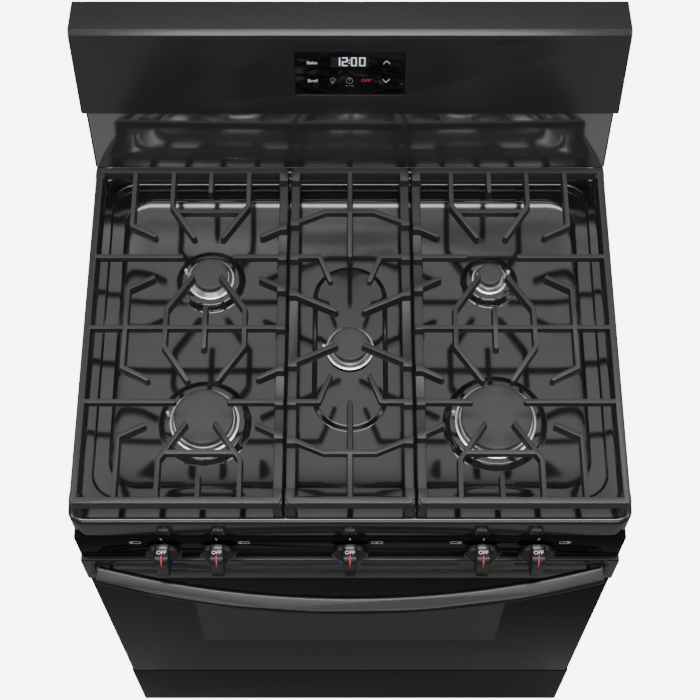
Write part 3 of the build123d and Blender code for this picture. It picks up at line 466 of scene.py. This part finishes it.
plateau_outlines = [plateau_foot]
plateau_outlines += blend_outlines(plateau_foot, plateau_top, lambda share: share, ease, 8)
plateau = pressed_sheet("cooktop_plateau", plateau_outlines)
smooth(plateau, 40)
paint(plateau, enamel)
rides(plateau, "range", "enamel")

# %% [markdown]
# ## Turned pieces
#
# Burner seats, burner heads and caps are round. Each is a profile drawn point by point from a
# single vertex with extrude, and then spun about the burner's axis.


# %% Turning on a lathe
def turned(name, center, profile, steps=72):
    """Spins a profile of (radius, height) points, in millimetres, about a vertical axis."""
    piece = edit_new(name)
    bpy.ops.mesh.primitive_plane_add(size=MM, location=(
        center[0] + profile[0][0] * MM, center[1], profile[0][1] * MM))
    bpy.ops.mesh.merge(type="CENTER")
    for (r0, z0), (r1, z1) in zip(profile, profile[1:]):
        step = ((r1 - r0) * MM, 0, (z1 - z0) * MM)
        bpy.ops.mesh.extrude_region_move(TRANSFORM_OT_translate={"value": step})
    bpy.ops.mesh.select_all(action="SELECT")
    bpy.ops.mesh.spin(steps=steps, angle=2 * pi, center=(center[0], center[1], 0), axis=(0, 0, 1))
    bpy.ops.object.mode_set(mode="OBJECT")
    settle(piece, name)
    outward(piece)
    return piece


def arc_points(center, radius, start, end, steps):
    """Points of an arc in a profile, its angles in degrees."""
    return [(center[0] + radius * cos(radians(start + (end - start) * k / steps)),
             center[1] + radius * sin(radians(start + (end - start) * k / steps)))
            for k in range(steps + 1)]


# %% Burner seats, heads and caps
BURNER_NAMES = ("left_rear", "left_front", "center", "right_rear", "right_front")
SEAT_Z = RIM_Z - 16
SEAT_FLAT, SEAT_SLOPE = 6, 11      # how far a seat's flat and its slope reach past the ring
SLOT_DEPTH = 2.2
# The port band, tucked under the cap's edge, is painted near black: painted shade for the shadow under
# the cap's overhang.
port_shade = Finish("port_band_painted_shade", (0.03, 0.029, 0.028), 0.5, 0.6)
port_shade.set("Roughness", port_shade.noise(500, 3) * 0.2 + 0.4)

for burner in BURNER_NAMES:
    cap_low, cap_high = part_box("burner_cap_" + burner)
    head_low, head_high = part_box("burner_head_" + burner)
    axis = ((cap_low[0] + cap_high[0]) / 2, (cap_low[1] + cap_high[1]) / 2)
    cap_r = (cap_high[0] - cap_low[0]) / 2 / MM
    ring_r = (head_high[0] - head_low[0]) / 2 / MM
    cap_base, cap_top = cap_low[2] / MM, cap_high[2] / MM
    band_z = cap_base - 5
    if burner != "center":
        seat_top = SEAT_Z - 0.2
        seat_drop = seat_top + 0.05 - FLOOR_Z
        seat = [(ring_r - 4, seat_top), (ring_r + SEAT_FLAT, seat_top)]
        seat += [(ring_r + SEAT_FLAT + SEAT_SLOPE * k / 8, seat_top - seat_drop * ease(k / 8))
                 for k in range(1, 9)]
        mound = turned("burner_seat_" + burner, axis, seat)
        smooth(mound, 50)
        paint(mound, enamel)
        rides(mound, "range", "enamel")

    head = [(ring_r - 6, SEAT_Z)]
    head += arc_points((ring_r - 0.9, SEAT_Z + 0.9), 0.9, -90, 60, 4)
    head += [(ring_r - 2.2, SEAT_Z + 2.0), (ring_r - 3.0, SEAT_Z + 2.4), (cap_r + 1.6, band_z - 0.5),
             (cap_r + 0.8, band_z), (cap_r - 1.5, band_z)]
    ring = turned("burner_ring_" + burner, axis, head, 96)
    smooth(ring, 30)
    paint(ring, bright_aluminium)
    rides(ring, "range", "burner_aluminium", "burner_head_" + burner)

    ports = int(cap_r * 0.75)
    band = turned("burner_ports_" + burner, axis, [
        (cap_r - 1.5, band_z - 0.3), (cap_r - 1.5, band_z + 1), (cap_r - 1.5, cap_base - 1.2),
        (cap_r - 1.5, cap_base - 0.2), (cap_r - 5, cap_base - 0.2)], 4 * ports)
    bpy.ops.object.mode_set(mode="EDIT")
    bpy.ops.mesh.select_all(action="DESELECT")
    bpy.ops.mesh.select_mode(type="FACE")
    bpy.ops.object.mode_set(mode="OBJECT")
    for face in band.data.polygons:
        spot = face.center
        turn = degrees(atan2(spot.y - axis[1], spot.x - axis[0])) % 360
        sector = int(turn / 360 * 4 * ports) % 4
        level = band_z + 1 < spot.z / MM < cap_base - 1.2
        face.select = sector == 0 and level
    bpy.ops.object.mode_set(mode="EDIT")
    bpy.ops.mesh.extrude_region_shrink_fatten(TRANSFORM_OT_shrink_fatten={"value": -SLOT_DEPTH * MM})
    bpy.ops.object.mode_set(mode="OBJECT")
    smooth(band, 30)
    paint(band, port_shade)
    rides(band, "range", "burner_aluminium")

    cap = [(cap_r - 5, cap_base), (cap_r - 0.7, cap_base), (cap_r - 0.2, cap_base + 0.4)]
    cap += arc_points((cap_r - 2.4, cap_top - 2.4), 2.4, 0, 78, 5)
    cap += [(cap_r - 6, cap_top - 0.02), (cap_r * 0.5, cap_top), (0.01, cap_top)]
    lid = turned("burner_lid_" + burner, axis, cap, 96)
    smooth(lid, 40)
    paint(lid, cap_enamel)
    rides(lid, "cap_" + burner, "cap_enamel", "burner_cap_" + burner)

# %% [markdown]
# ## The grates
#
# Cast grates have drafted sides and softly broken edges, with a fine sandy skin. The CAD
# already draws every bar with its draft, so each grate is a copy of it, its edges rounded.

# %% Round the grates' edges
for side, body in (("left", "left_grate"), ("center", "center_grate"), ("right", "right_grate")):
    grate = copy_of_node("grate_" + side, "cast_grate_" + side, edge=0.0011, segments=2, angle=28)
    paint(grate, cast_iron)
    rides(grate, body, "cast_iron", "grate_" + side)

# %% [markdown]
# ## Folded panels
#
# Sheet steel is never folded to a knife edge. Each outer panel is a copy of its CAD node with
# its corners rounded by the width such a part really has, which is what catches the light.

# %% Round the panels, the trim and the handle
riser_black = Finish("glossy_riser_paint", (0.36, 0.36, 0.36), 0.12, 0.9)
riser_black.set("Roughness", riser_black.noise(40, 2) * 0.04 + 0.1)
ROUNDED = (
    ("backguard_shell", "backguard_face", "range", "backguard_steel", satin_steel, 2.4, 4),
    ("backguard_end_caps", "backguard_ends", "range", "backguard_steel", satin_steel, 0.5, 2),
    ("backguard_riser", "backguard_step", "range", "backguard_steel", riser_black, 0.6, 2),
    ("control_panel", "knob_panel", "range", "black_panel", gloss_black, 1.2, 3),
    ("side_panel_left", "left_side", "range", "black_panel", gloss_black, 0.4, 2),
    ("side_panel_right", "right_side", "range", "black_panel", gloss_black, 0.4, 2),
    ("door_glass", "door_face", "oven_door", "door_glass", door_black, 1.0, 3),
    ("door_top_trim", "door_trim", "oven_door", "trim_steel", handle_steel, 0.8, 2),
    ("door_handle", "door_grip", "oven_door", "trim_steel", handle_steel, 3.0, 4),
    ("drawer_front", "drawer_face", "storage_drawer", "black_panel", gloss_black, 1.5, 3),
    ("control_glass", "touch_panel", "range", "touch_glass", touch_black, 0.3, 2),
)
for node, name, body, slot, finish, edge, steps in ROUNDED:
    panel = copy_of_node(node, name, edge=edge * MM, segments=steps)
    paint(panel, finish)
    rides(panel, body, slot, node)

# %% The door's window
window_black = Finish("window_glass", (0.014, 0.014, 0.0145), 0.06, IOR=1.22)
window_black.set("Roughness", window_black.noise(30, 2) * 0.03 + 0.05)
WINDOW_MIDDLE_Z, WINDOW_WIDTH, WINDOW_HEIGHT, WINDOW_SKIN = 520, 470, 224, 0.2
bpy.ops.object.select_all(action="DESELECT")
door_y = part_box("door_glass")[0][1]
bpy.ops.mesh.primitive_cube_add(size=1, location=(0, door_y, WINDOW_MIDDLE_Z * MM))
bpy.context.object.scale = (WINDOW_WIDTH * MM, WINDOW_SKIN * MM, WINDOW_HEIGHT * MM)
window = settle(bpy.context.object, "door_window")
add_modifier(window, "BEVEL", width=0.00005, segments=1)
paint(window, window_black)
rides(window, "oven_door", "door_glass")

# %% [markdown]
# ## The knobs
#
# A range knob is a low round skirt with a tall blade across it. The blade leans in towards its
# front end, and its edges are well rounded so that it is kind to the fingers.


# %% Shape the knobs
def ink_plane(origin, up, normal):
    """Carries (right, up, out) in millimetres from a flat surface to the room."""
    up, normal = Vector(up).normalized(), Vector(normal).normalized()
    turn = Matrix((up.cross(normal), up, normal)).transposed().to_4x4()
    return Matrix.Translation(Vector(origin) * MM) @ turn @ Matrix.Scale(MM, 4)


KNOB_FRAMES = {}
SKIRT_R = 25
BLADE_BACK, BLADE_FRONT = (1, 23.5, 10.4), (21, 25, 9.6)    # depth, half height, half width
NOSE_LONG, NOSE_LEAN = 10.9, 4.5
NOSE_DEPTH, NOSE_HALF = BLADE_FRONT[0] + NOSE_LONG, 0.8 * BLADE_FRONT[1]
for number in range(1, 6):
    node = f"knob_{number}"
    low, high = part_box(node)
    center = [(a + b) / 2 / MM for a, b in zip(low, high)]
    back_y = high[1] / MM
    KNOB_FRAMES[number] = (center[0], back_y, center[2])
    skirt = turned("knob_skirt", (0, 0), [
        (0.01, 0.1), (24.6, 0.1), (SKIRT_R, 0.6), (SKIRT_R, 7), (24.6, 8.2), (24.0, 8.8), (14, 16.5),
        (0.01, 17)], 64)
    smooth(skirt, 28)
    skirt.matrix_world = Matrix.Translation((center[0] * MM, back_y * MM, center[2] * MM)) \
        @ Matrix.Rotation(pi / 2, 4, "X")
    settle(skirt, "knob_skirt")
    bpy.ops.object.select_all(action="DESELECT")
    bpy.ops.mesh.primitive_cube_add(size=1)
    blade = bpy.context.object
    bpy.ops.object.mode_set(mode="EDIT")
    bpy.ops.mesh.select_all(action="DESELECT")
    bpy.ops.object.mode_set(mode="OBJECT")
    for vertex in blade.data.vertices:
        front, level = vertex.co.y < 0, 1 if vertex.co.z > 0 else -1
        depth, half_height, half_width = BLADE_FRONT if front else BLADE_BACK
        side = half_width * (1 if vertex.co.x > 0 else -1)
        vertex.co = ((center[0] + side) * MM, (back_y - depth) * MM,
                     (center[2] + level * half_height) * MM)
    bpy.ops.object.mode_set(mode="EDIT")
    bpy.ops.mesh.select_mode(type="FACE")
    bpy.ops.object.mode_set(mode="OBJECT")
    for face in blade.data.polygons:
        face.select = abs(face.normal.y) > 0.9 and face.center.y / MM < back_y - 15
    bpy.ops.object.mode_set(mode="EDIT")
    bpy.ops.mesh.extrude_region_move(TRANSFORM_OT_translate={"value": (0, -NOSE_LONG * MM, 0)})
    bpy.ops.transform.resize(value=(0.88, 1, 0.8), center_override=(center[0] * MM, 0, center[2] * MM))
    bpy.ops.object.mode_set(mode="OBJECT")
    for vertex in blade.data.vertices:
        if vertex.co.y / MM < back_y - 30 and vertex.co.z / MM > center[2]:
            vertex.co.y += NOSE_LEAN * MM
    settle(blade, "knob_blade")
    add_modifier(blade, "BEVEL", width=1.5 * MM, segments=4, limit_method="ANGLE",
                 angle_limit=radians(12))
    smooth(blade, 40)
    start_alone(blade)
    skirt.select_set(True)
    bpy.ops.object.join()
    knob = settle(bpy.context.object, f"knob_grip_{number}")
    paint(knob, gloss_plastic)
    rides(knob, node, "knob_plastic", node)

# %% [markdown]
# ## Printing
#
# Markings are a thin layer of ink. Each is a set of flat bars, rings, dots and letters laid on a
# surface's own plane, joined into one piece for each colour and each moving body.


# %% Bars, rings, dots and letters of ink
INK = 0.12


def lay(plane, spot, turn=0.0, size=(1, 1, 1)):
    """Lays the active object on a plane, at (right, up), turned and sized in millimetres."""
    bpy.context.object.matrix_world = plane @ Matrix.Translation((*spot, INK / 2)) \
        @ Matrix.Rotation(turn, 4, "Z") @ Matrix.Diagonal((*size, 1))
    return bpy.context.object


def bar(plane, start, end, width):
    """A stroke from one spot to another, a little longer than the gap between them."""
    bpy.ops.mesh.primitive_cube_add(size=1)
    across, up = end[0] - start[0], end[1] - start[1]
    return lay(plane, ((start[0] + end[0]) / 2, (start[1] + end[1]) / 2), atan2(up, across),
               (hypot(across, up) + width * 0.6, width, INK))


def hoop(plane, center, radius, width):
    """A thin ring."""
    bpy.ops.mesh.primitive_torus_add(major_radius=radius, minor_radius=width / 2,
                                     major_segments=40, minor_segments=6)
    return lay(plane, center, 0, (1, 1, INK / width))


def dot(plane, center, radius):
    """A round spot."""
    bpy.ops.mesh.primitive_cylinder_add(vertices=24, radius=radius, depth=INK)
    return lay(plane, center)


def letters(plane, text, center, height, width):
    """Letters of a cap height, stretched to a width."""
    bpy.ops.object.text_add()
    label = bpy.context.object
    label.data.body, label.data.extrude, label.data.offset = text, INK / 2, 0.012
    label.data.align_x, label.data.align_y = "CENTER", "CENTER"
    bpy.ops.object.convert(target="MESH")
    label = bpy.context.object
    places = [vertex.co for vertex in label.data.vertices]
    wide, tall = [max(place[k] for place in places) - min(place[k] for place in places)
                  for k in (0, 1)]
    return lay(plane, center, 0, (width / wide, height / tall, 1))


def printed(name, inks, finish, body, slot):
    """Joins the laid inks into one piece."""
    bpy.ops.object.select_all(action="DESELECT")
    for ink in inks:
        ink.select_set(True)
    bpy.context.view_layer.objects.active = inks[0]
    if len(inks) > 1:
        bpy.ops.object.join()
    piece = settle(bpy.context.object, name)
    outward(piece)
    paint(piece, finish)
    rides(piece, body, slot)


white_ink = Finish("white_ink", (0.8, 0.8, 0.8), 0.5)
white_ink.set("Roughness", white_ink.noise(500, 2) * 0.1 + 0.45)
grey_ink = Finish("grey_ink", (0.3, 0.31, 0.32), 0.5)
grey_ink.set("Roughness", grey_ink.noise(500, 2) * 0.1 + 0.45)
red_ink = Finish("red_ink", (0.62, 0.045, 0.04), 0.5)
red_ink.set("Roughness", red_ink.noise(500, 2) * 0.1 + 0.45)

# %% Mark the knobs and the panel
panel_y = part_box("control_panel")[0][1] / MM
panel_inks = []
for number, (knob_x, back_y, knob_z) in KNOB_FRAMES.items():
    top_start = Vector((knob_x, back_y - BLADE_BACK[0], knob_z + BLADE_BACK[1]))
    top_end = Vector((knob_x, back_y - BLADE_FRONT[0], knob_z + BLADE_FRONT[1]))
    along = (top_start - top_end).normalized()
    top = ink_plane(top_end + Vector((0, 0, 0.15)), along, along.cross(Vector((-1, 0, 0))))
    nose = Vector((knob_x, back_y - NOSE_DEPTH + NOSE_LEAN, knob_z + NOSE_HALF))
    chin = Vector((knob_x, back_y - NOSE_DEPTH, knob_z - NOSE_HALF))
    slope_up = (top_end - nose).normalized()
    slope = ink_plane(nose, slope_up, slope_up.cross(Vector((-1, 0, 0))))
    front_up = (nose - chin).normalized()
    front = ink_plane(nose, front_up, front_up.cross(Vector((-1, 0, 0))))
    printed(f"knob_off_{number}", [letters(top, "OFF", (0, 8.7), 5.3, 13.4)], white_ink,
            f"knob_{number}", "knob_plastic")
    skirt_side = ink_plane((knob_x + SKIRT_R, back_y - 4, knob_z), (0, 0, 1), (1, 0, 0))
    printed(f"knob_pointer_{number}", [
        bar(top, (0, 3.4), (0, 0.2), 1.9),
        bar(slope, (0, (top_end - nose).length), (0, 0.6), 1.9),
        bar(front, (0, -0.6), (0, -9), 1.9),
        bar(skirt_side, (-2.4, 1.5), (2.4, 1.5), 2.4)], red_ink, f"knob_{number}", "knob_plastic")
    face = ink_plane((knob_x, panel_y, knob_z), (0, 0, 1), (0, -1, 0))
    lean = 0.0 if number == 3 else (-1.2 if number < 3 else 1.2)
    panel_inks.append(bar(face, (lean, 35.5), (0, 29.5), 1.7))
# Each burner icon: its x, and where its dot stands in it.
BURNER_ICONS = ((-295.7, -4.5, 2.2), (-145.8, -4.5, -2.2), (37.0, 0, 0),
                (145.8, 4.5, -2.2), (295.7, 4.5, 2.2))
ICON_W, ICON_H, ICON_Z = 15.0, 7.6, 860.0
for icon_x, dot_x, dot_z in BURNER_ICONS:
    face = ink_plane((icon_x, panel_y, ICON_Z), (0, 0, 1), (0, -1, 0))
    half_w, half_h = ICON_W / 2, ICON_H / 2
    cut = 1.2
    around = [(-half_w + cut, -half_h), (half_w - cut, -half_h), (half_w, -half_h + cut),
              (half_w, half_h - cut), (half_w - cut, half_h), (-half_w + cut, half_h),
              (-half_w, half_h - cut), (-half_w, -half_h + cut)]
    panel_inks += [bar(face, a, b, 0.9) for a, b in zip(around, around[1:] + around[:1])]
    panel_inks.append(dot(face, (dot_x, dot_z * 0.6), 1.7))
printed("panel_marks", panel_inks, white_ink, "range", "black_panel")

# %% [markdown]
# ## The touch clock
#
# The clock's digits glow through the black glass. The words and icons around them are ink.

# %% Lay out the clock's face
FACE_LOW, FACE_HIGH = Vector((0, 271, 1074)), Vector((0, 301, 1212))
face_up = (FACE_HIGH - FACE_LOW).normalized()
face_out = face_up.cross(Vector((-1, 0, 0)))
glass = ink_plane(FACE_LOW - face_out * 0.98, face_up, face_out)

digit_glow = Finish("clock_digits", (0.05, 0.05, 0.06), 0.5, Emission_Color=(0.78, 0.88, 1.0, 1.0),
                    Emission_Strength=1.15)
digit_glow.set("Emission Color", digit_glow.mix(
    digit_glow.noise(900, 1), (0.72, 0.84, 1.0), (0.86, 0.94, 1.0)))
lcd_black = Finish("clock_window", (0.02, 0.021, 0.022), 0.2)
lcd_black.set("Roughness", lcd_black.noise(50, 2) * 0.05 + 0.16)
bpy.ops.mesh.primitive_cube_add(size=1)
printed("clock_window", [lay(glass, (0, 94), 0, (51.2, 18.7, 0.04))], lcd_black, "range", "touch_glass")

DIGIT_LOW, DIGIT_HIGH, STROKE = 88.0, 101.6, 1.8
DIGIT_MID = (DIGIT_LOW + DIGIT_HIGH) / 2
SEGMENTS = {"1": "bc", "2": "abged", "0": "abcdef"}
digits = []
# Each digit: what it shows, its left edge and its right edge.
PLACES = (("1", -21.5, -14.2), ("2", -10.2, -4.1), ("0", 2.3, 8.4), ("0", 13.4, 20.2))
for character, left, right in PLACES:
    ends = {"a": ((left, DIGIT_HIGH), (right, DIGIT_HIGH)), "d": ((left, DIGIT_LOW), (right, DIGIT_LOW)),
            "g": ((left, DIGIT_MID), (right, DIGIT_MID)), "b": ((right, DIGIT_MID), (right, DIGIT_HIGH)),
            "c": ((right, DIGIT_LOW), (right, DIGIT_MID)), "e": ((left, DIGIT_LOW), (left, DIGIT_MID)),
            "f": ((left, DIGIT_MID), (left, DIGIT_HIGH))}
    digits += [bar(glass, *ends[segment], STROKE) for segment in SEGMENTS[character]]
digits += [dot(glass, (-0.9, DIGIT_MID + side * 2.6), 1.0) for side in (-1, 1)]
printed("clock_digits", digits, digit_glow, "range", "touch_glass")

# %% Print the keys
keys = [letters(glass, "Bake", (-52, 92.7), 5.2, 14.2),
        letters(glass, "Broil", (-51.6, 60.3), 5.2, 13.4),
        bar(glass, (45.6, 90.8), (50.2, 96.4), 1.0), bar(glass, (50.2, 96.4), (54.8, 90.8), 1.0),
        bar(glass, (45.2, 63.2), (49.8, 57.4), 1.0), bar(glass, (49.8, 57.4), (54.4, 63.2), 1.0)]
printed("clock_keys", keys, white_ink, "range", "touch_glass")
icons = [hoop(glass, (-24, 62), 3.3, 0.7), bar(glass, (-25.4, 57.6), (-22.6, 57.6), 0.7),
         bar(glass, (-25.2, 56.0), (-22.8, 56.0), 0.7),
         hoop(glass, (-0.7, 60.3), 4.6, 0.7), bar(glass, (-0.7, 60.3), (-0.7, 63.4), 0.7),
         bar(glass, (-2.4, 65.9), (1.0, 65.9), 0.7), hoop(glass, (-4.6, 51.5), 1.1, 0.4),
         bar(glass, (-1.6, 51.5), (5.0, 51.5), 0.5)]
printed("clock_icons", icons, grey_ink, "range", "touch_glass")
printed("clock_off", [letters(glass, "OFF", (22, 60.5), 4.9, 12.8)], red_ink, "range", "touch_glass")

# %% Camera
CAMERA_PLACE = (0.0, -1.0226, 2.9296)
CAMERA_TILT = 63.6          # degrees below the horizon
LENS = 81.5
camera_data = bpy.data.cameras.new("camera")
camera_data.lens = LENS
camera_data.sensor_width = 36
camera = bpy.data.objects.new("camera", camera_data)
camera.location = CAMERA_PLACE
camera.rotation_euler = (radians(90 - CAMERA_TILT), 0, 0)
bpy.context.scene.collection.objects.link(camera)
bpy.context.scene.camera = camera

# %% Floor and light
bpy.ops.object.select_all(action="DESELECT")
bpy.ops.mesh.primitive_plane_add(size=14, location=(0, 0, 0))
floor = settle(bpy.context.object, "studio_floor")
floor_finish = Finish("studio_paper", (0.2, 0.2, 0.2), 0.8, Emission_Strength=7.0)
seen = floor_finish.node("ShaderNodeLightPath", {}, {}, output="Is Camera Ray")
floor_finish.set("Emission Color", floor_finish.mix(seen, (0, 0, 0), (1, 1, 1)))
floor_finish.bump(floor_finish.noise(400, 2), 0.00005, 0.2)
paint(floor, floor_finish)


def softbox(name, place, aim, width, height, power):
    """A rectangular soft light that faces the aim point."""
    light = bpy.data.lights.new(name, "AREA")
    light.shape = "RECTANGLE"
    light.size, light.size_y, light.energy = width, height, power
    lamp = bpy.data.objects.new(name, light)
    lamp.location = place
    lamp.rotation_euler = (Vector(aim) - Vector(place)).to_track_quat("-Z", "Y").to_euler()
    bpy.context.scene.collection.objects.link(lamp)


softbox("overhead", (0, -0.25, 3.9), (0, 0, 0.9), 2.6, 0.8, 62)
softbox("front_strip", (0, -3.1, 3.6), (0, 0, 0.9), 3.0, 0.4, 26)
softbox("left_fill", (-2.6, -0.6, 2.2), (0, 0, 0.7), 0.8, 1.6, 8)
softbox("right_fill", (2.6, -0.6, 2.2), (0, 0, 0.7), 0.8, 1.6, 8)
world = bpy.data.worlds.new("studio")
world.use_nodes = True
sky = world.node_tree
sky.nodes["Background"].inputs["Strength"].default_value = 1.3
direction = sky.nodes.new("ShaderNodeTexCoord")
height = sky.nodes.new("ShaderNodeSeparateXYZ")
glow = sky.nodes.new("ShaderNodeMapRange")
for socket, value in {"From Min": 0.5, "From Max": 0.9, "To Min": 0.15, "To Max": 1.0}.items():
    glow.inputs[socket].default_value = value
sky.links.new(direction.outputs["Generated"], height.inputs[0])
sky.links.new(height.outputs["Z"], glow.inputs["Value"])
sky.links.new(glow.outputs["Result"], sky.nodes["Background"].inputs["Color"])
bpy.context.scene.world = world
